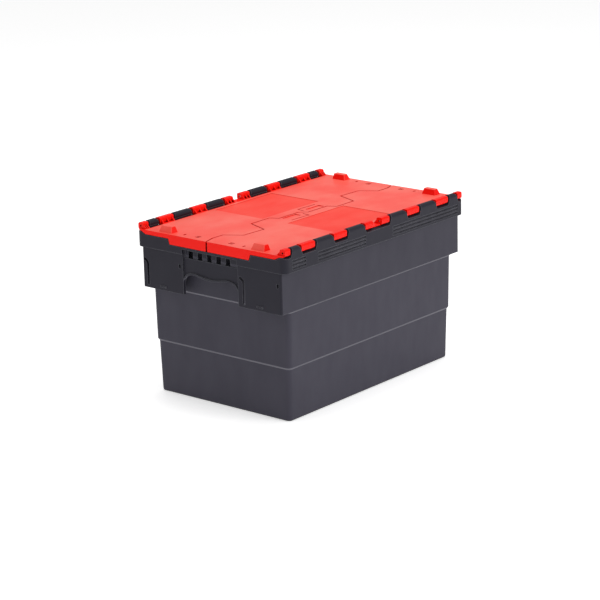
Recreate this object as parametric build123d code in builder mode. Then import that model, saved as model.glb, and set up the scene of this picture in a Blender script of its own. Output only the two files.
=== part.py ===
from build123d import *
import os

# Attached lid tote: a nesting plastic tub whose two lid leaves are hinged along its long rims and
# interlock along the middle. +Z is up, +X runs along the 600 mm length, and the origin is the centre
# of the base. All sizes are in millimetres.

os.makedirs("parts", exist_ok=True)

# ---- overall size -------------------------------------------------------------------------------
length = 600.0
width = 400.0
height = 368.0
rim_corner_radius = 14.0
cut_overrun = 5.0

# ---- tub body: outer half sizes at each level, from the base up -----------------------------------
wall = 2.6
floor_thickness = 3.2
body_corner_radius = 10.0
base_edge_radius = 4.0
body_levels = [
    (0.0, 268.5, 176.5),
    (110.5, 270.3, 179.5),
    (114.5, 272.7, 182.4),
    (229.5, 273.4, 184.3),
    (233.0, 275.9, 187.2),
    (346.0, 276.2, 187.2),
]

# ---- base underside -------------------------------------------------------------------------------
foot_width = 16.0
foot_height = 1.6
base_rib_width = 3.0
base_rib_pitch = 60.0
base_rib_bond = 0.2
recess_corner_radius = 8.0
cross_rib_span = 4
long_rib_span = 2

# ---- rim -----------------------------------------------------------------------------------------
rim_bottom = 318.3
rim_top = 347.0
rim_skin = 3.6
flange_thickness = 3.3
rim_rib_thickness = 2.2
rim_rib_pitch = 51.0
rim_rib_span = 5
rim_rib_lift = 2.0
hollow_past_corner = 4.0
rim_lip = [(186.5, 345.0), (186.5, 351.2), (193.0, 351.2), (200.0, 348.3), (200.0, 345.0)]
corner_block_start = (283.0, 174.0)
corner_block_end = 187.0

# ---- grooves that leave three ribs along each long rim ---------------------------------------------
groove_ledges = (339.0, 331.8, 324.2)
groove_height = 4.2
groove_depth = 1.8
groove_spans = ((-277.0, -234.0), (-196.0, -42.0), (49.0, 277.0))

# ---- end aprons -----------------------------------------------------------------------------------
apron_half_length = 297.7
apron_half_width = 187.2
apron_bottom = 232.5
apron_skin = 2.8
apron_corner_radius = 4.0
apron_hollow_radius = 2.0

# ---- handles --------------------------------------------------------------------------------------
handle_half_width = 74.0
handle_top = 329.0
handle_recess = 3.0
jamb_thickness = 3.0
grip_plate_thickness = 3.0
grip_curl_depth = 4.8
grip_curl_thickness = 3.2
grip_bead_depth = 2.6
grip_bead_height = 4.0
jamb_bond = 1.0
grip_corner_level = 259.0
grip_shoulder = (4.0, 269.0)
grip_rise = (59.0, 275.2)
grip_rise_heading = (2.0, -1.0)
grip_crest = (48.0, 277.5)
grip_slope = (24.0, 274.2)
grip_middle_level = 272.0
grip_plate_bottom = 250.0
reach_behind_grip = 276.4
window_pitch = 25.2
window_count = 5
window_width = 12.5
window_height = 15.0
window_centre_level = 318.8
window_shift = 5.0
sill_half_width = 70.0
sill_depth = 1.2

# ---- details of the apron panels ------------------------------------------------------------------
tongue_slot_width = 5.5
tongue_slot_bottom = 239.0
tongue_slot_bend = 282.0
tongue_slot_bend_radius = 11.0
tongue_slot_inset = 15.0
slot_cut_depth = apron_skin + 2.0
seal_hole_radius = 2.6
seal_hole_height = 9.0
seal_hole_level = 291.5
seal_hole_inset = 9.0
panel_tab = (16.0, 1.4, 4.0)
panel_tab_level = 240.5
tab_bond = 1.0

# ---- hinges ---------------------------------------------------------------------------------------
axis_y = 190.8
axis_z = 360.5
pin_radius = 2.0
bore_radius = 2.05
tooth_barrel_radius = 7.5
knuckle_half_size = 7.2
knuckle_corner_radius = 4.0
tooth_foot = rim_top - 2
tooth_flare = 10.0
tooth_corner_radius = 1.5
tooth_web_inner = 187.5
tooth_reach = 20.0
teeth = [(-262.0, 10.0), (-172.5, 23.0), (-70.5, 23.0), (70.5, 23.0), (172.5, 23.0), (262.0, 10.0)]
middle_knuckle = 3
knuckle_end = 295.0
hinge_gap_half = 14.5
knuckle_clearance = 7.5
arm_clearance = 0.7
gusset_thickness = 3.0
gusset_top = 6.0
gusset_shoulder = (5.0, 4.6)
gusset_foot = 14.4
pin_inner_end = 16.0
pin_outer_end = 290.0

# ---- lid leaves -----------------------------------------------------------------------------------
lid_top = 355.5
lid_thickness = 3.0
lid_bottom = lid_top - lid_thickness
seam_gap = 3.0
seam_end = 6.0
skirt_thickness = 3.0
skirt_outline = [(106.5, 334.5), (110.5, 346.5), (174.0, 346.5), (186.0, lid_bottom)]
skirt_seam_clearance = 2.2
skirt_clearance = 0.8
rebate_gap = (1.4, 1.0)
shelf_half_width = 122.0
shelf_thickness = 3.2
shelf_depth = 3.4
plate_past_axis = 3.0
leaf_edge_low = axis_y - 11.8
leaf_edge_high = axis_y - 14.8
seam_half = [(7.0, -8.0), (70.0, -8.0), (79.0, -27.0), (137.0, -26.5), (157.0, 25.0), (216.5, 22.5),
             (240.0, -14.0), (272.0, -14.0), (length / 2, -seam_end)]
panel_half_length = 92.0
panel_near = 34.0
panel_far = 166.0
panel_depth = 0.7
lid_rib_thickness = 1.8
lid_rib_bottom = 344.5
lid_rib_half_length = 268.0
lid_rib_bond = 0.5
lid_rib_levels_y = (40.0, 105.0, 168.0)
lid_rib_levels_x = (-262.0, -180.0, -92.0, 0.0, 92.0, 180.0, 262.0)

# ---- stacking lugs, two on each leaf ---------------------------------------------------------------
lug_base_x = (273.0, 294.5)
lug_base_y = (106.5, 142.0)
lug_top_x = (276.0, 288.0)
lug_top_y = (111.0, 138.5)
lug_skin = 2.4
lug_edge_radius = 1.5

# ---- small openings near the ends of the lid --------------------------------------------------------
oval_place = (282.5, 80.0)
oval_size = (9.0, 4.6)
clip_place = (280.5, 45.0)
clip_size = (12.0, 3.6)
clip_pitch = 6.4
latch_slit_width = 2.4
latch_slit = [(9.0, 6.0), (12.0, 25.0), (66.0, 23.0)]
latch_recess = ((22.0, 66.0), (-3.0, 12.0))
latch_recess_depth = 1.4


def between(low, high):
    """Centre and size of the span from low to high."""
    return (low + high) / 2, high - low


def block(x_range, y_range, z_range, mode=Mode.ADD):
    """A rectangular block between two corners, added to or cut from the open part."""
    (x, size_x), (y, size_y), (z, size_z) = (between(*span) for span in (x_range, y_range, z_range))
    with Locations((x, y, z)):
        Box(size_x, size_y, size_z, mode=mode)


def rounded_rectangle(level, half_x, half_y, radius):
    """A horizontal rectangle with rounded corners, centred on the Z axis."""
    with BuildSketch(Plane.XY.offset(level)) as outline:
        RectangleRounded(2 * half_x, 2 * half_y, radius)
    return outline.sketch


def rectangle_between(level, x_range, y_range):
    """A horizontal rectangle between two corners."""
    (x, size_x), (y, size_y) = between(*x_range), between(*y_range)
    with BuildSketch(Plane.XY.offset(level)) as outline:
        with Locations((x, y)):
            Rectangle(size_x, size_y)
    return outline.sketch


def under_grip(plane, rise):
    """The space below a grip's waved lower edge, with that edge raised by rise."""
    corner = (handle_half_width, grip_corner_level + rise)
    shoulder = (handle_half_width - grip_shoulder[0], grip_shoulder[1] + rise)
    rise_point, crest, slope = ((y, z + rise) for y, z in (grip_rise, grip_crest, grip_slope))
    foot = (handle_half_width, apron_bottom - cut_overrun)
    with BuildSketch(plane) as outline:
        with BuildLine() as half:
            Spline((0, grip_middle_level + rise), slope, crest, rise_point,
                   tangents=((1, 0), grip_rise_heading))
            ThreePointArc(rise_point, shoulder, corner)
            Polyline(corner, foot, (0, foot[1]))
            mirror(half.line, about=Plane.YZ)
        make_face()
    return outline.sketch


# ---- hinge teeth of the tub, along the -Y rim --------------------------------------------------------
with BuildPart() as teeth_row:
    # Each tooth is thick, rounded over the pin, and narrows from the rim up to its top.
    crown = tooth_barrel_radius - width / 2
    with BuildSketch(Plane.YZ.offset(-length / 2)):
        with Locations((-axis_y, axis_z), (crown, axis_z)):
            Circle(tooth_barrel_radius)
        crown_middle, crown_width = between(crown, -axis_y)
        with Locations((crown_middle, axis_z)):
            Rectangle(crown_width, 2 * tooth_barrel_radius)
        web_middle, web_thickness = between(-width / 2, -tooth_web_inner)
        web_level, web_height = between(tooth_foot, axis_z)
        with Locations((web_middle, web_level)):
            Rectangle(web_thickness, web_height)
    extrude(amount=length)
    with BuildSketch(Plane.XZ.offset(axis_y - tooth_reach)) as tooth_outlines:
        for centre, top_half in teeth:
            foot_half = top_half + tooth_flare
            Polygon((centre - foot_half, tooth_foot), (centre - top_half, height),
                    (centre + top_half, height), (centre + foot_half, tooth_foot), align=None)
        fillet(tooth_outlines.vertices().group_by(Axis.Y)[-1], tooth_corner_radius)
    extrude(amount=2 * tooth_reach, mode=Mode.INTERSECT)
    with BuildSketch(Plane.YZ.offset(-length / 2)):
        with Locations((-axis_y, axis_z)):
            Circle(bore_radius)
    extrude(amount=length, mode=Mode.SUBTRACT)

    # A sloping lip between and past the teeth, which closes the space under the lid's knuckles.
    with BuildSketch(Plane.YZ.offset(-length / 2)):
        Polygon(*[(-y, z) for y, z in rim_lip], align=None)
    extrude(amount=length)
    extrude(rounded_rectangle(rim_bottom, length / 2, width / 2, rim_corner_radius), amount=height,
            mode=Mode.INTERSECT)

# ---- tub ---------------------------------------------------------------------------------------------
with BuildPart() as tub:
    # Rim and end aprons as blocks, then hollowed from below.
    extrude(rounded_rectangle(rim_bottom, length / 2, width / 2, rim_corner_radius),
            amount=rim_top - rim_bottom)
    extrude(rounded_rectangle(apron_bottom, apron_half_length, apron_half_width, apron_corner_radius),
            amount=rim_bottom - apron_bottom + rim_skin)
    flange_bottom = rim_top - flange_thickness
    extrude(rounded_rectangle(apron_bottom, apron_half_length - apron_skin, apron_half_width - wall,
                              apron_hollow_radius),
            amount=flange_bottom - apron_bottom, mode=Mode.SUBTRACT)
    rim_hollow_end = length / 2 - rim_corner_radius + hollow_past_corner
    for side in (-1, 1):
        hollow = sorted((side * apron_half_width, side * (width / 2 - rim_skin)))
        block((-rim_hollow_end, rim_hollow_end), hollow, (rim_bottom - cut_overrun, flange_bottom),
              Mode.SUBTRACT)
        for step in range(-rim_rib_span, rim_rib_span + 1):
            rib = step * rim_rib_pitch
            block((rib - rim_rib_thickness / 2, rib + rim_rib_thickness / 2), hollow,
                  (rim_bottom + rim_rib_lift, flange_bottom))

    # Shelf and upstand under the deep part of the lid's end skirts, and raised rim corners.
    upstand_outer = length / 2 - skirt_thickness - skirt_clearance
    rebate_outline = [(y + rebate_gap[0], z - rebate_gap[1]) for y, z in skirt_outline]
    shelf_top = rebate_outline[0][1]
    lip_bottom, lip_top = rim_lip[0][1], rim_lip[1][1]
    for side in (-1, 1):
        shelf = sorted((side * (upstand_outer - shelf_depth), side * length / 2))
        block(shelf, (-shelf_half_width, shelf_half_width), (shelf_top - shelf_thickness, rim_top))
        corner_x = sorted((side * corner_block_start[0], side * length / 2))
        for hand in (-1, 1):
            corner_y = sorted((hand * corner_block_start[1], hand * corner_block_end))
            block(corner_x, corner_y, (lip_bottom, lip_top))

    # Stepped, tapering body.
    for (low, low_x, low_y), (high, high_x, high_y) in zip(body_levels, body_levels[1:]):
        loft([rounded_rectangle(low, low_x, low_y, body_corner_radius),
              rounded_rectangle(high, high_x, high_y, body_corner_radius)])
    fillet(tub.edges().group_by(Axis.Z)[0], base_edge_radius)

    # Jambs, recessed grip plates and the inward curl along each grip's lower edge.
    jamb_outer = handle_half_width + jamb_thickness
    grip_front = apron_half_length - handle_recess
    grip_back = grip_front - grip_plate_thickness
    for side in (-1, 1):
        depth = sorted((side * grip_back, side * (apron_half_length - apron_skin / 2)))
        for hand in (-1, 1):
            jamb = sorted((hand * handle_half_width, hand * jamb_outer))
            block(depth, jamb, (apron_bottom, flange_bottom + jamb_bond))
        plate_x = sorted((side * grip_back, side * grip_front))
        block(plate_x, (-jamb_outer, jamb_outer), (grip_plate_bottom, handle_top + cut_overrun))
        curl_plane = Plane.YZ.offset(side * (grip_front - grip_curl_depth))
        extrude(under_grip(curl_plane, grip_curl_thickness), amount=side * grip_curl_depth)
        handle_x = sorted((side * grip_front, side * (length / 2 + cut_overrun)))
        block(handle_x, (-handle_half_width, handle_half_width), (apron_bottom - cut_overrun, handle_top),
              Mode.SUBTRACT)
        bead_plane = Plane.YZ.offset(side * grip_front)
        extrude(under_grip(bead_plane, grip_bead_height), amount=side * grip_bead_depth)
        reach_plane = Plane.YZ.offset(side * reach_behind_grip)
        extrude(under_grip(reach_plane, 0), amount=side * (length / 2 - reach_behind_grip),
                mode=Mode.SUBTRACT)

        # A sunk band with a row of windows at the top of each grip.
        window_bottom = window_centre_level - window_height / 2
        window_top = window_centre_level + window_height / 2
        sill_x = sorted((side * (grip_front - sill_depth), side * apron_half_length))
        block(sill_x, (-sill_half_width, sill_half_width), (window_bottom, handle_top), Mode.SUBTRACT)
        window_x = sorted((side * reach_behind_grip, side * apron_half_length))
        for window in range(window_count):
            across = (window - (window_count - 1) / 2) * window_pitch - side * window_shift
            window_y = (across - window_width / 2, across + window_width / 2)
            block(window_x, window_y, (window_bottom, window_top), Mode.SUBTRACT)

    # Inside of the tub.
    for (low, low_x, low_y), (high, high_x, high_y) in zip(body_levels, body_levels[1:]):
        bottom = max(low, floor_thickness)
        top = high if high < rim_bottom else rim_top + 1
        loft([rounded_rectangle(bottom, low_x - wall, low_y - wall, body_corner_radius - wall),
              rounded_rectangle(top, high_x - wall, high_y - wall, body_corner_radius - wall)],
             mode=Mode.SUBTRACT)

    # Rebates that take the lid's end skirts, with the same stepped outline a small gap away.
    for side in (-1, 1):
        with BuildSketch(Plane.YZ.offset(side * upstand_outer)):
            with BuildLine() as rebate_half:
                Polyline((0, shelf_top), *rebate_outline, (rebate_outline[-1][0], height), (0, height))
                mirror(rebate_half.line, about=Plane.YZ)
            make_face()
        extrude(amount=side * (skirt_thickness + skirt_clearance), mode=Mode.SUBTRACT)

    # Tongue slots, seal holes and bottom tabs of the four apron panels. Each panel repeats the same
    # layout, read from the left by someone who faces that end.
    for side in (-1, 1):
        for panel_left in (apron_half_width, -handle_half_width):
            panel_width = apron_half_width - handle_half_width
            slot_y = -side * (panel_left - tongue_slot_inset)
            hole_y = -side * (panel_left - panel_width + seal_hole_inset)
            tab_y = -side * (panel_left - panel_width / 2)
            bend_y = slot_y - side * tongue_slot_bend_radius
            bend_top = tongue_slot_bend + tongue_slot_bend_radius
            with BuildSketch(Plane.YZ.offset(side * (apron_half_length + 1))):
                with BuildLine() as slot_path:
                    Line((slot_y, tongue_slot_bottom), (slot_y, tongue_slot_bend))
                    TangentArc((slot_y, tongue_slot_bend), (bend_y, bend_top), tangent=(0, 1))
                trace(slot_path.line, line_width=tongue_slot_width)
                with Locations((hole_y, seal_hole_level)):
                    SlotOverall(seal_hole_height, 2 * seal_hole_radius, rotation=90)
            extrude(amount=-side * slot_cut_depth, mode=Mode.SUBTRACT)
            tab_length, tab_depth, tab_height = panel_tab
            tab_x = sorted((side * (apron_half_length - tab_bond), side * (apron_half_length + tab_depth)))
            block(tab_x, (tab_y - tab_length / 2, tab_y + tab_length / 2),
                  (panel_tab_level - tab_height / 2, panel_tab_level + tab_height / 2))

    # Grooves along the long rims; the second side is the first turned half a turn.
    for side in (-1, 1):
        outer = sorted((side * (width / 2 - groove_depth), side * (width / 2 + groove_depth)))
        for start, end in groove_spans:
            span = sorted((-side * start, -side * end))
            for ledge in groove_ledges:
                block(span, outer, (ledge, ledge + groove_height), Mode.SUBTRACT)

    # Underside: a foot band round the edge and a grid of ribs in the recess.
    recess_x = body_levels[0][1] - foot_width
    recess_y = body_levels[0][2] - foot_width
    extrude(rounded_rectangle(0, recess_x, recess_y, recess_corner_radius), amount=foot_height,
            mode=Mode.SUBTRACT)
    rib_levels = (0, foot_height + base_rib_bond)
    for step in range(-cross_rib_span, cross_rib_span + 1):
        rib = step * base_rib_pitch
        block((rib - base_rib_width / 2, rib + base_rib_width / 2), (-recess_y, recess_y), rib_levels)
    for step in range(-long_rib_span, long_rib_span + 1):
        rib = step * base_rib_pitch
        block((-recess_x, recess_x), (rib - base_rib_width / 2, rib + base_rib_width / 2), rib_levels)

    add(teeth_row.part)
    add(teeth_row.part.rotate(Axis.Z, 180))

tub.part.label = "tub"
export_step(tub.part, "parts/tub.step")

# ---- lid leaf on the -Y side -----------------------------------------------------------------------
seam = [(-x, -y) for x, y in reversed(seam_half)] + seam_half
tooth_zones = [(centre - half - tooth_flare - arm_clearance, centre + half + tooth_flare + arm_clearance)
               for centre, half in teeth]
barrel_edges = [-knuckle_end]
for centre, half in teeth:
    barrel_edges += [centre - half - knuckle_clearance, centre + half + knuckle_clearance]
barrel_edges.append(knuckle_end)
knuckles = list(zip(barrel_edges[::2], barrel_edges[1::2]))
middle = knuckles.pop(middle_knuckle)
knuckles += [(middle[0], -hinge_gap_half), (hinge_gap_half, middle[1])]

with BuildPart() as front_lid:
    # Plate with the zigzag seam edge.
    with BuildSketch(Plane.XY.offset(lid_bottom)):
        outer = length / 2 + seam_gap
        Polygon((-outer, seam[0][1]), *seam, (outer, seam[-1][1]), (outer, -width), (-outer, -width),
                align=None)
        offset(amount=-seam_gap / 2, kind=Kind.INTERSECTION)
    extrude(amount=lid_thickness)

    # End skirts: deep in the middle, shallow outside it and gone at the corners, with a gap at the seam.
    for side in (-1, 1):
        skirt_end = -side * seam_end - skirt_seam_clearance
        skirt_points = [(-y, z) for y, z in skirt_outline]
        with BuildSketch(Plane.YZ.offset(side * (length / 2 - skirt_thickness))):
            Polygon((skirt_end, lid_top), (skirt_end, skirt_points[0][1]), *skirt_points,
                    (skirt_points[-1][0], lid_top), align=None)
        extrude(amount=side * skirt_thickness)

    # Everything outside the rounded plan or past the hinge goes.
    extrude(rounded_rectangle(rim_bottom, length / 2, width / 2, rim_corner_radius), amount=height,
            mode=Mode.INTERSECT)
    block((-length, length), (-width, -axis_y - plate_past_axis), (rim_bottom, height), Mode.SUBTRACT)

    # The plate stops short of the tub's teeth, with a sloping edge that clears them when it opens.
    for start, end in tooth_zones:
        with BuildSketch(Plane.YZ.offset(start)):
            Polygon((-width, rim_bottom), (-leaf_edge_low, rim_bottom), (-leaf_edge_low, lid_bottom),
                    (-leaf_edge_high, lid_top), (-leaf_edge_high, height), (-width, height), align=None)
        extrude(amount=end - start, mode=Mode.SUBTRACT)

    # Ribs under the plate.
    rib_levels = (lid_rib_bottom, lid_bottom + lid_rib_bond)
    rib_x = (-lid_rib_half_length, lid_rib_half_length)
    for level_y in lid_rib_levels_y:
        block(rib_x, (-level_y - lid_rib_thickness, -level_y), rib_levels)
    for level_x in lid_rib_levels_x:
        block((level_x - lid_rib_thickness / 2, level_x + lid_rib_thickness / 2),
              (-lid_rib_levels_y[-1], -lid_rib_levels_y[0]), rib_levels)

    # Shallow sunk panel in the middle of the plate.
    block((-panel_half_length, panel_half_length), (-panel_far, -panel_near), (lid_top - panel_depth, height),
          Mode.SUBTRACT)

    # Hollow stacking lugs.
    for side in (-1, 1):
        base = [sorted(side * v for v in lug_base_x), sorted(-v for v in lug_base_y)]
        top = [sorted(side * v for v in lug_top_x), sorted(-v for v in lug_top_y)]
        loft([rectangle_between(lid_top - 1, *base), rectangle_between(height, *top)])
        fillet(front_lid.edges(Select.LAST).filter_by_position(Axis.Z, lid_top + 1, height), lug_edge_radius)
        base_inner = [(low + lug_skin, high - lug_skin) for low, high in base]
        top_inner = [(low + lug_skin, high - lug_skin) for low, high in top]
        loft([rectangle_between(lid_rib_bottom, *base_inner),
              rectangle_between(height - lug_skin, *top_inner)], mode=Mode.SUBTRACT)

    # Knuckles, each joined to the plate by an arm and three gussets between the teeth.
    for start, end in knuckles:
        arm_start = max([start] + [high for low, high in tooth_zones if low < start + 1 < high + 1])
        arm_end = min([end] + [low for low, high in tooth_zones if low - 1 < end - 1 < high])
        with BuildSketch(Plane.YZ.offset(start)):
            with Locations((-axis_y, axis_z)):
                RectangleRounded(2 * knuckle_half_size, 2 * knuckle_half_size, knuckle_corner_radius)
        extrude(amount=end - start)
        block((arm_start, arm_end), (-axis_y, -leaf_edge_high + 2), (lid_bottom, lid_top))
        last_gusset = arm_end - gusset_thickness
        shoulder_y, shoulder_z = gusset_shoulder
        for gusset in (arm_start, (arm_start + last_gusset) / 2, last_gusset):
            with BuildSketch(Plane.YZ.offset(gusset)):
                foot_y = -axis_y + gusset_foot
                Polygon((-axis_y, lid_bottom), (-axis_y, axis_z + gusset_top),
                        (-axis_y + shoulder_y, axis_z + shoulder_z), (foot_y, lid_top), (foot_y, lid_bottom),
                        align=None)
            extrude(amount=gusset_thickness)
    with BuildSketch(Plane.YZ.offset(-length / 2)):
        with Locations((-axis_y, axis_z)):
            Circle(bore_radius)
    extrude(amount=length, mode=Mode.SUBTRACT)

    # Small openings: an oval and a two-slot seal clip at each end, and the latch by the seam.
    with BuildSketch(Plane.XY.offset(lid_rib_bottom)):
        for side in (-1, 1):
            with Locations((side * oval_place[0], -oval_place[1])):
                SlotOverall(*oval_size)
            for shift in (-clip_pitch / 2, clip_pitch / 2):
                with Locations((side * clip_place[0] + shift, -clip_place[1])):
                    SlotOverall(*clip_size, rotation=90)
        with BuildLine() as slit_path:
            Polyline(*[(-x, -y) for x, y in latch_slit])
        trace(slit_path.line, line_width=latch_slit_width)
    extrude(amount=height - lid_rib_bottom, mode=Mode.SUBTRACT)
    latch_x, latch_y = (sorted(-value for value in span) for span in latch_recess)
    block(latch_x, latch_y, (lid_top - latch_recess_depth, height), Mode.SUBTRACT)

front_lid.part.label = "front_lid"
export_step(front_lid.part, "parts/front_lid.step")

# ---- lid leaf on the +Y side: the same moulding turned half a turn ------------------------------------
with BuildPart() as back_lid:
    add(front_lid.part.rotate(Axis.Z, 180))

back_lid.part.label = "back_lid"
export_step(back_lid.part, "parts/back_lid.step")

# ---- hinge pins, two along each long side --------------------------------------------------------------
for side_name, side_y in (("front", -axis_y), ("back", axis_y)):
    for end_name, start in (("left", -pin_outer_end), ("right", pin_inner_end)):
        with BuildPart() as hinge_pin:
            with BuildSketch(Plane.YZ.offset(start)):
                with Locations((side_y, axis_z)):
                    Circle(pin_radius)
            extrude(amount=pin_outer_end - pin_inner_end)
        pin_name = f"hinge_pin_{side_name}_{end_name}"
        hinge_pin.part.label = pin_name
        export_step(hinge_pin.part, f"parts/{pin_name}.step")
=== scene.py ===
"""An attached lid tote on a pale studio floor.

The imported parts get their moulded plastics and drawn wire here. The rest is the studio: a floor,
white surroundings, two soft lamps and a camera at the photograph's viewing angle.
"""

from math import radians

import bpy
from mathutils import Matrix, Vector


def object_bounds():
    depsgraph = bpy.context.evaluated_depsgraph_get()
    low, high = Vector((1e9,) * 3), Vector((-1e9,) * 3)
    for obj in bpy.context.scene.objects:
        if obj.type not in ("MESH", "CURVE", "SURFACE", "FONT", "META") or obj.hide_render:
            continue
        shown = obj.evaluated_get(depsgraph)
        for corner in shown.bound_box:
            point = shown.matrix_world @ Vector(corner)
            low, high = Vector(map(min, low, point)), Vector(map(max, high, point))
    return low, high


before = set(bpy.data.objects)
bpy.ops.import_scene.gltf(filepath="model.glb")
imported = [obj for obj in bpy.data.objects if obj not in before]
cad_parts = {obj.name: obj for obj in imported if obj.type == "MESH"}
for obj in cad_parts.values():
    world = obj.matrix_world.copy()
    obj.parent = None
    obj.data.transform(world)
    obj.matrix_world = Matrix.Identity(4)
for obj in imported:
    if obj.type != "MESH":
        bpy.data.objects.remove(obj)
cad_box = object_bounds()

X, Y, Z = 0, 1, 2
WHITE = (1.0, 1.0, 1.0, 1)

# Camera: where it looks, from which side and how far away, in metres and degrees; lens in mm.
CAMERA_TARGET = Vector((-0.00726, 0.00866, 0.1629))
CAMERA_AZIMUTH = -50.0
CAMERA_ELEVATION = 16.27
CAMERA_ROLL = -1.36
CAMERA_DISTANCE = 4.842
CAMERA_LENS = 136.4
SENSOR_WIDTH = 36.0

# White surroundings: how bright they look to the camera, and how strongly they light the tote.
SURROUND_SEEN = 1.0
SURROUND_LIGHT = 0.50

# Floor: its width, its own faint glow, and how far it lies under the base, in metres.
FLOOR_SIZE = 40.0
FLOOR_GLOW = 0.45
FLOOR_GAP = 0.0003
FLOOR_WHITES = (0.93, 0.93, 0.93, 1), (0.95, 0.95, 0.95, 1)

# Square soft lamps: name, place and width in metres, and power in watts.
LAMPS = (
    ("overhead_soft", (0.3, 0.2, 3.2), 2.4, 52.0),
    ("side_soft", (0.8, -3.4, 1.6), 1.8, 40.0),
)

# Where the tub's smoother, darker end aprons and rim begin, and how wide the change is, in metres.
APRON_BOTTOM = 0.2325
APRON_FACE = 0.2945
RIM_BOTTOM = 0.3181
CHANGE_WIDTH = 0.001

# How much of that look the long walls have between the level of APRON_BOTTOM and the rim.
WALL_SMOOTHNESS = 0.25

# The tub's ledges, lightened with painted light from the white floor: faces with this lean (see
# Finish.lean), higher than the foot, in metres.
LEDGE_FULL, LEDGE_NONE = -0.5, -0.3
FOOT_TOP, LEDGES_FROM = 0.05, 0.06

# The etched middle panel of each lid leaf, measured from the middle of the lid, in metres.
PANEL_HALF_LENGTH = 0.092
PANEL_INNER, PANEL_OUTER = 0.034, 0.166
PANEL_BORDER = 0.0004

# The lid's top, paled to coral by a painted reflection of the overhead lamp: faces with this lean,
# as far out as the row of knuckles, in metres.
SHEEN_NONE, SHEEN_FULL = 0.28, 0.45
SHEEN_STOPS, KNUCKLES_FROM = 0.172, 0.177

# Colours, as linear red, green, blue and alpha. A pair is the two ends of a drift in tone, except
# the lid's second pair of reds, which are its frame and its middle panel under a painted
# reflection.
WALL_GREYS = (0.046, 0.043, 0.060, 1), (0.056, 0.053, 0.072, 1)
RIM_GREYS = (0.014, 0.013, 0.021, 1), (0.020, 0.019, 0.029, 1)
LIT_LEDGE_GREY = (0.17, 0.165, 0.19, 1)
CREASE_SHADE_GREY = (0.004, 0.004, 0.007, 1)
FLOW_GREY = (0.028, 0.027, 0.036, 1)
SPECK_GREY = (0.08, 0.08, 0.09, 1)
WORN_AND_HIGHLIGHT_GREY = (0.15, 0.15, 0.17, 1)
LID_REDS = (0.93, 0.005, 0.001, 1), (0.99, 0.010, 0.003, 1)
TOP_SHEEN_REDS = (0.97, 0.165, 0.125, 1), (0.95, 0.085, 0.058, 1)
FLOW_RED = (0.78, 0.004, 0.001, 1)
CREASE_SHADE_RED = (0.20, 0.0, 0.0, 1)
WORN_RED = (0.95, 0.14, 0.09, 1)
WIRE_GREYS = (0.50, 0.50, 0.49, 1), (0.64, 0.64, 0.62, 1)
WORN_WIRE = (0.78, 0.78, 0.77, 1)

# How strongly both plastics bend light.
PLASTIC_IOR = 1.49

# Sockets of a Mix node that mixes colours.
MIX_SHARE, MIX_FIRST, MIX_SECOND, MIX_RESULT = 0, 6, 7, 2

# Rays for the two shading nodes that probe the shape, and the way noise is laid out.
BEVEL_RAYS = 4
SHELTER_RAYS = 8
NOISE_ROUGHNESS = 0.55
UNSTRETCHED = (1.0, 1.0, 1.0)


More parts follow.
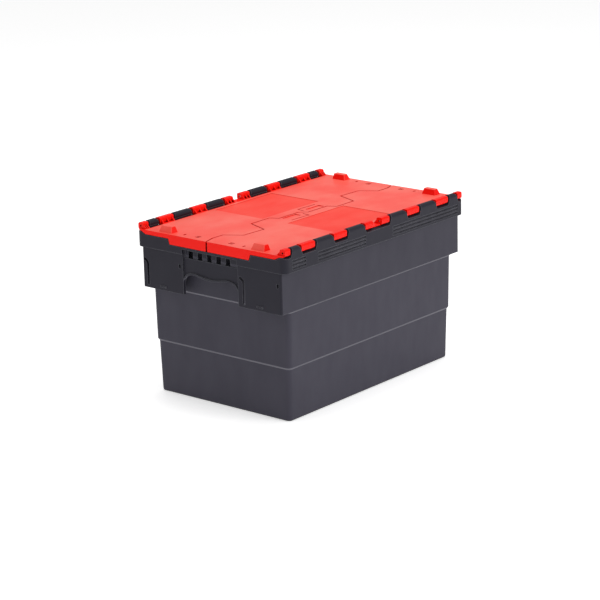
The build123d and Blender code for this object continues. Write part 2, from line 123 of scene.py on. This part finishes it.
class Finish:
    """A Principled material, whose node tree is put together a few nodes at a time."""

    def __init__(self, name, **settings):
        self.material = bpy.data.materials.new(name)
        self.material.use_nodes = True
        self.tree = self.material.node_tree
        self.shader = self.tree.nodes["Principled BSDF"]
        for socket, value in settings.items():
            self.shader.inputs[socket.replace("_", " ")].default_value = value
        own = self.node("ShaderNodeTexCoord").outputs
        self.place, self.facing = own["Object"], own["Normal"]

    def node(self, kind, **properties):
        """A new node with these properties set."""
        made = self.tree.nodes.new(kind)
        for name, value in properties.items():
            setattr(made, name, value)
        return made

    def put(self, value, socket):
        """Links an output to an input, or sets the input to a plain value."""
        if isinstance(value, bpy.types.NodeSocket):
            self.tree.links.new(value, socket)
        else:
            socket.default_value = value

    def split(self, vector, index):
        """The X, Y or Z share of a vector."""
        shares = self.node("ShaderNodeSeparateXYZ")
        self.put(vector, shares.inputs[0])
        return shares.outputs[index]

    def axis(self, index):
        """One of the object's own coordinates, in metres."""
        return self.split(self.place, index)

    def lean(self):
        """How far a face of the closed tote looks up: 1 on a top, 0 on a wall, -1 underneath."""
        return self.split(self.facing, Z)

    def stretched(self, stretch):
        """The object's own coordinates, multiplied along each axis."""
        scaled = self.node("ShaderNodeVectorMath", operation="MULTIPLY")
        self.put(self.place, scaled.inputs[0])
        self.put(stretch, scaled.inputs[1])
        return scaled.outputs[0]

    def noise(self, size, detail=3.0, stretch=UNSTRETCHED):
        """Smooth random cloud from 0 to 1, with features about size metres across."""
        cloud = self.node("ShaderNodeTexNoise")
        self.put(self.stretched(stretch), cloud.inputs["Vector"])
        self.put(1.0 / size, cloud.inputs["Scale"])
        self.put(detail, cloud.inputs["Detail"])
        self.put(NOISE_ROUGHNESS, cloud.inputs["Roughness"])
        return cloud.outputs["Fac"]

    def cells(self, size):
        """Distance to the nearest of a field of scattered points, size metres apart."""
        field = self.node("ShaderNodeTexVoronoi")
        self.put(self.stretched(UNSTRETCHED), field.inputs["Vector"])
        self.put(1.0 / size, field.inputs["Scale"])
        return field.outputs["Distance"]

    def remap(self, value, low, high, to_low=0.0, to_high=1.0):
        """A value taken from low..high to to_low..to_high, held at both ends."""
        ramp = self.node("ShaderNodeMapRange", interpolation_type="SMOOTHSTEP")
        for socket, setting in zip(ramp.inputs, (value, low, high, to_low, to_high)):
            self.put(setting, socket)
        return ramp.outputs["Result"]

    def fall(self, value, low, high):
        """1 below low, falling to 0 at high."""
        return self.remap(value, low, high, 1.0, 0.0)

    def maths(self, operation, first, second=0.0):
        """A Math node on two values."""
        step = self.node("ShaderNodeMath", operation=operation)
        self.put(first, step.inputs[0])
        self.put(second, step.inputs[1])
        return step.outputs[0]

    def times(self, first, second):
        """Two values multiplied."""
        return self.maths("MULTIPLY", first, second)

    def mix(self, share, first, second):
        """Two colours mixed by a share from 0 to 1."""
        blend = self.node("ShaderNodeMix", data_type="RGBA")
        self.put(share, blend.inputs[MIX_SHARE])
        self.put(first, blend.inputs[MIX_FIRST])
        self.put(second, blend.inputs[MIX_SECOND])
        return blend.outputs[MIX_RESULT]

    def tint(self, tone, colour, where, strength):
        """A tone with a colour laid over it, as far as where (0 to 1) times strength."""
        return self.mix(self.times(where, strength), tone, colour)

    def rounding(self, radius):
        """The normal with sharp edges eased to a small radius."""
        rounded = self.node("ShaderNodeBevel", samples=BEVEL_RAYS)
        self.put(radius, rounded.inputs["Radius"])
        return rounded.outputs[0]

    def edges(self, radius, low=0.02, high=0.30):
        """1 along the sharp edges of the shape and 0 on its faces."""
        agree = self.node("ShaderNodeVectorMath", operation="DOT_PRODUCT")
        self.put(self.rounding(radius), agree.inputs[0])
        self.put(self.node("ShaderNodeNewGeometry").outputs["Normal"], agree.inputs[1])
        turned = self.maths("SUBTRACT", 1.0, agree.outputs["Value"])
        return self.remap(turned, low, high)

    def crease_shade(self, reach, closed_at=0.25, open_at=0.80):
        """Painted shade: 1 in narrow gaps and inside corners, fading to 0 on open faces."""
        shelter = self.node("ShaderNodeAmbientOcclusion", samples=SHELTER_RAYS)
        self.put(reach, shelter.inputs["Distance"])
        return self.fall(shelter.outputs["AO"], closed_at, open_at)

    def bump(self, height, depth, strength, under=None):
        """Relief of this height map, depth metres deep, on top of another normal."""
        relief = self.node("ShaderNodeBump")
        self.put(strength, relief.inputs["Strength"])
        self.put(depth, relief.inputs["Distance"])
        self.put(height, relief.inputs["Height"])
        if under is not None:
            self.put(under, relief.inputs["Normal"])
        return relief.outputs[0]

    def finish(self, colour, roughness, normal):
        """Feeds the shader and gives the finished material."""
        self.put(colour, self.shader.inputs["Base Color"])
        self.put(roughness, self.shader.inputs["Roughness"])
        self.put(normal, self.shader.inputs["Normal"])
        return self.material


def tub_plastic():
    """Dark grey plastic: etched walls, a smoother rim, drifting tone, painted shade in gaps,
    ledges lightened with painted light from the floor, and edges lightened by wear and a painted
    highlight.
    """
    skin = Finish("tub_plastic", IOR=PLASTIC_IOR, Specular_IOR_Level=0.15)
    level = skin.axis(Z)
    from_middle = skin.maths("ABSOLUTE", skin.axis(X))

    above_apron = skin.remap(level, APRON_BOTTOM - CHANGE_WIDTH, APRON_BOTTOM)
    at_end = skin.remap(from_middle, APRON_FACE - CHANGE_WIDTH, APRON_FACE)
    in_rim = skin.remap(level, RIM_BOTTOM - CHANGE_WIDTH, RIM_BOTTOM)
    upper = skin.times(above_apron, skin.maths("MAXIMUM", at_end, WALL_SMOOTHNESS))
    smooth = skin.maths("MAXIMUM", in_rim, upper)
    looks_down = skin.fall(skin.lean(), LEDGE_FULL, LEDGE_NONE)
    lit_ledge = skin.times(looks_down, skin.remap(level, FOOT_TOP, LEDGES_FROM))

    drift = skin.noise(size=0.16, detail=4.0)
    flow = skin.noise(size=0.03, detail=5.0, stretch=(1.0, 1.0, 0.35))
    grain = skin.noise(size=0.0016, detail=2.0)
    specks = skin.fall(skin.cells(size=0.004), 0.0, 0.16)
    # Edge wear together with a painted highlight: pale lines along the tub's edges, ledges and
    # sills.
    wear_and_highlight = skin.edges(radius=0.0025, low=0.01, high=0.09)
    edge_lightening = skin.times(wear_and_highlight, skin.remap(flow, 0.25, 0.6, 0.35, 1.0))

    tone = skin.mix(smooth, skin.mix(drift, *WALL_GREYS), skin.mix(drift, *RIM_GREYS))
    # Painted light: the ledges that face down are made paler, as if lit from the white floor.
    tone = skin.tint(tone, LIT_LEDGE_GREY, lit_ledge, skin.remap(flow, 0.2, 0.7, 0.55, 0.85))
    # Painted shade: near-black grey laid into gaps and inside corners.
    tone = skin.mix(skin.crease_shade(reach=0.006), tone, CREASE_SHADE_GREY)
    tone = skin.tint(tone, FLOW_GREY, flow, 0.25)
    tone = skin.tint(tone, SPECK_GREY, specks, 0.10)
    tone = skin.tint(tone, WORN_AND_HIGHLIGHT_GREY, edge_lightening, 0.60)

    roughness = skin.remap(flow, 0.2, 0.8, 0.46, 0.60)
    roughness = skin.maths("SUBTRACT", roughness, skin.times(smooth, 0.06))
    normal = skin.bump(grain, depth=0.0003, strength=0.35, under=skin.rounding(0.0008))
    normal = skin.bump(flow, depth=0.0012, strength=0.15, under=normal)
    return skin.finish(tone, roughness, normal)


def lid_plastic():
    """Bright red plastic: etched middle panels, a top paled by a painted reflection, painted shade
    in gaps, faint flow marks and rubbed edges.
    """
    skin = Finish("lid_plastic", IOR=PLASTIC_IOR, Specular_IOR_Level=0.12)
    along = skin.maths("ABSOLUTE", skin.axis(X))
    across = skin.maths("ABSOLUTE", skin.axis(Y))

    in_length = skin.fall(along, PANEL_HALF_LENGTH, PANEL_HALF_LENGTH + PANEL_BORDER)
    past_seam = skin.remap(across, PANEL_INNER - PANEL_BORDER, PANEL_INNER)
    before_hinge = skin.fall(across, PANEL_OUTER, PANEL_OUTER + PANEL_BORDER)
    panel = skin.times(in_length, skin.times(past_seam, before_hinge))

    drift = skin.noise(size=0.12, detail=4.0)
    flow = skin.noise(size=0.05, detail=5.0, stretch=(0.4, 1.0, 1.0))
    grain = skin.noise(size=0.0014, detail=2.0)
    edge_lightening = skin.times(skin.edges(radius=0.0010), skin.remap(flow, 0.35, 0.7))
    # Painted reflection: faces that look up turn pale coral, as if they mirror the overhead lamp.
    looks_up = skin.remap(skin.lean(), SHEEN_NONE, SHEEN_FULL)
    painted_sheen = skin.times(looks_up, skin.fall(across, SHEEN_STOPS, KNUCKLES_FROM))
    painted_sheen = skin.times(painted_sheen, skin.remap(drift, 0.35, 0.65, 0.60, 1.0))

    tone = skin.mix(painted_sheen, skin.mix(drift, *LID_REDS), skin.mix(panel, *TOP_SHEEN_REDS))
    tone = skin.tint(tone, FLOW_RED, flow, 0.20)
    # Painted shade: dark red laid into the seams, gaps and inside corners.
    tone = skin.mix(skin.crease_shade(reach=0.008, open_at=0.62), tone, CREASE_SHADE_RED)
    tone = skin.tint(tone, WORN_RED, edge_lightening, 0.25)

    roughness = skin.remap(flow, 0.2, 0.8, 0.30, 0.42)
    roughness = skin.maths("ADD", roughness, skin.times(panel, 0.10))
    normal = skin.bump(grain, depth=0.0002, strength=0.25, under=skin.rounding(0.0007))
    normal = skin.bump(flow, depth=0.0010, strength=0.12, under=normal)
    return skin.finish(tone, roughness, normal)


def pin_steel():
    """Drawn zinc-plated wire: fine lengthwise lines, dull patches and bright ends."""
    skin = Finish("pin_steel", Metallic=1.0)
    lines = skin.noise(size=0.0004, stretch=(0.05, 1.0, 1.0))
    patches = skin.noise(size=0.02, detail=4.0)
    edge_lightening = skin.edges(radius=0.0005)
    tone = skin.tint(skin.mix(patches, *WIRE_GREYS), WORN_WIRE, edge_lightening, 0.5)
    roughness = skin.remap(patches, 0.25, 0.75, 0.24, 0.42)
    return skin.finish(tone, roughness, skin.bump(lines, depth=0.0001, strength=0.4))


def studio_floor():
    """Matte white floor with a faint glow of its own, so that it melts into the surroundings."""
    skin = Finish(
        "studio_floor",
        Specular_IOR_Level=0.1,
        Emission_Color=WHITE,
        Emission_Strength=FLOOR_GLOW,
    )
    drift = skin.noise(size=1.5)
    normal = skin.bump(skin.noise(size=0.01), depth=0.0002, strength=0.1)
    roughness = skin.remap(drift, 0.0, 1.0, 0.85, 0.95)
    return skin.finish(skin.mix(drift, *FLOOR_WHITES), roughness, normal)


def dress(node, material):
    """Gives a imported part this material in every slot."""
    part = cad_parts[node]
    if not part.material_slots:
        part.data.materials.append(material)
    for holder in part.material_slots:
        holder.material = material


def add_floor():
    """A plain floor just under the base, which isn't part of the tote."""
    base = cad_box[0][Z]
    bpy.ops.mesh.primitive_plane_add(size=FLOOR_SIZE, location=(0, 0, base - FLOOR_GAP))
    floor = bpy.context.object
    floor.name = "studio_floor"
    floor.data.materials.append(studio_floor())


def add_lamp(name, place, width, watts):
    """A square soft lamp aimed at the middle of the tote."""
    light = bpy.data.lights.new(name, "AREA")
    light.shape = "SQUARE"
    light.size = width
    light.energy = watts
    lamp = bpy.data.objects.new(name, light)
    bpy.context.scene.collection.objects.link(lamp)
    aim = (CAMERA_TARGET - Vector(place)).to_track_quat("-Z", "Y")
    lamp.matrix_world = Matrix.Translation(place) @ aim.to_matrix().to_4x4()


def add_surroundings():
    """White all round: bright where the camera sees it, softer as the light on the tote."""
    world = bpy.data.worlds.new("studio_surround")
    world.use_nodes = True
    background = world.node_tree.nodes["Background"]
    background.inputs["Color"].default_value = WHITE
    rays = world.node_tree.nodes.new("ShaderNodeLightPath")
    strength = world.node_tree.nodes.new("ShaderNodeMapRange")
    strength.inputs["To Min"].default_value = SURROUND_LIGHT
    strength.inputs["To Max"].default_value = SURROUND_SEEN
    world.node_tree.links.new(rays.outputs["Is Camera Ray"], strength.inputs["Value"])
    world.node_tree.links.new(strength.outputs["Result"], background.inputs["Strength"])
    bpy.context.scene.world = world


def add_camera():
    """A long lens looking down at the near corner of the tote."""
    turn = Matrix.Rotation(radians(CAMERA_AZIMUTH), 4, "Z")
    tilt = Matrix.Rotation(radians(90 - CAMERA_ELEVATION), 4, "X")
    roll = Matrix.Rotation(radians(CAMERA_ROLL), 4, "Z")
    back = Matrix.Translation((0, 0, CAMERA_DISTANCE))
    view = bpy.data.cameras.new("studio_camera")
    view.lens = CAMERA_LENS
    view.sensor_width = SENSOR_WIDTH
    camera = bpy.data.objects.new("studio_camera", view)
    bpy.context.scene.collection.objects.link(camera)
    camera.matrix_world = Matrix.Translation(CAMERA_TARGET) @ turn @ tilt @ back @ roll
    bpy.context.scene.camera = camera


tub_material = tub_plastic()
lid_material = lid_plastic()
pin_material = pin_steel()
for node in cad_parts:
    if node == "tub":
        dress(node, tub_material)
    elif node.endswith("lid"):
        dress(node, lid_material)
    else:
        dress(node, pin_material)

add_floor()
add_surroundings()
for lamp in LAMPS:
    add_lamp(*lamp)
add_camera()
bpy.context.scene.view_settings.view_transform = "Standard"
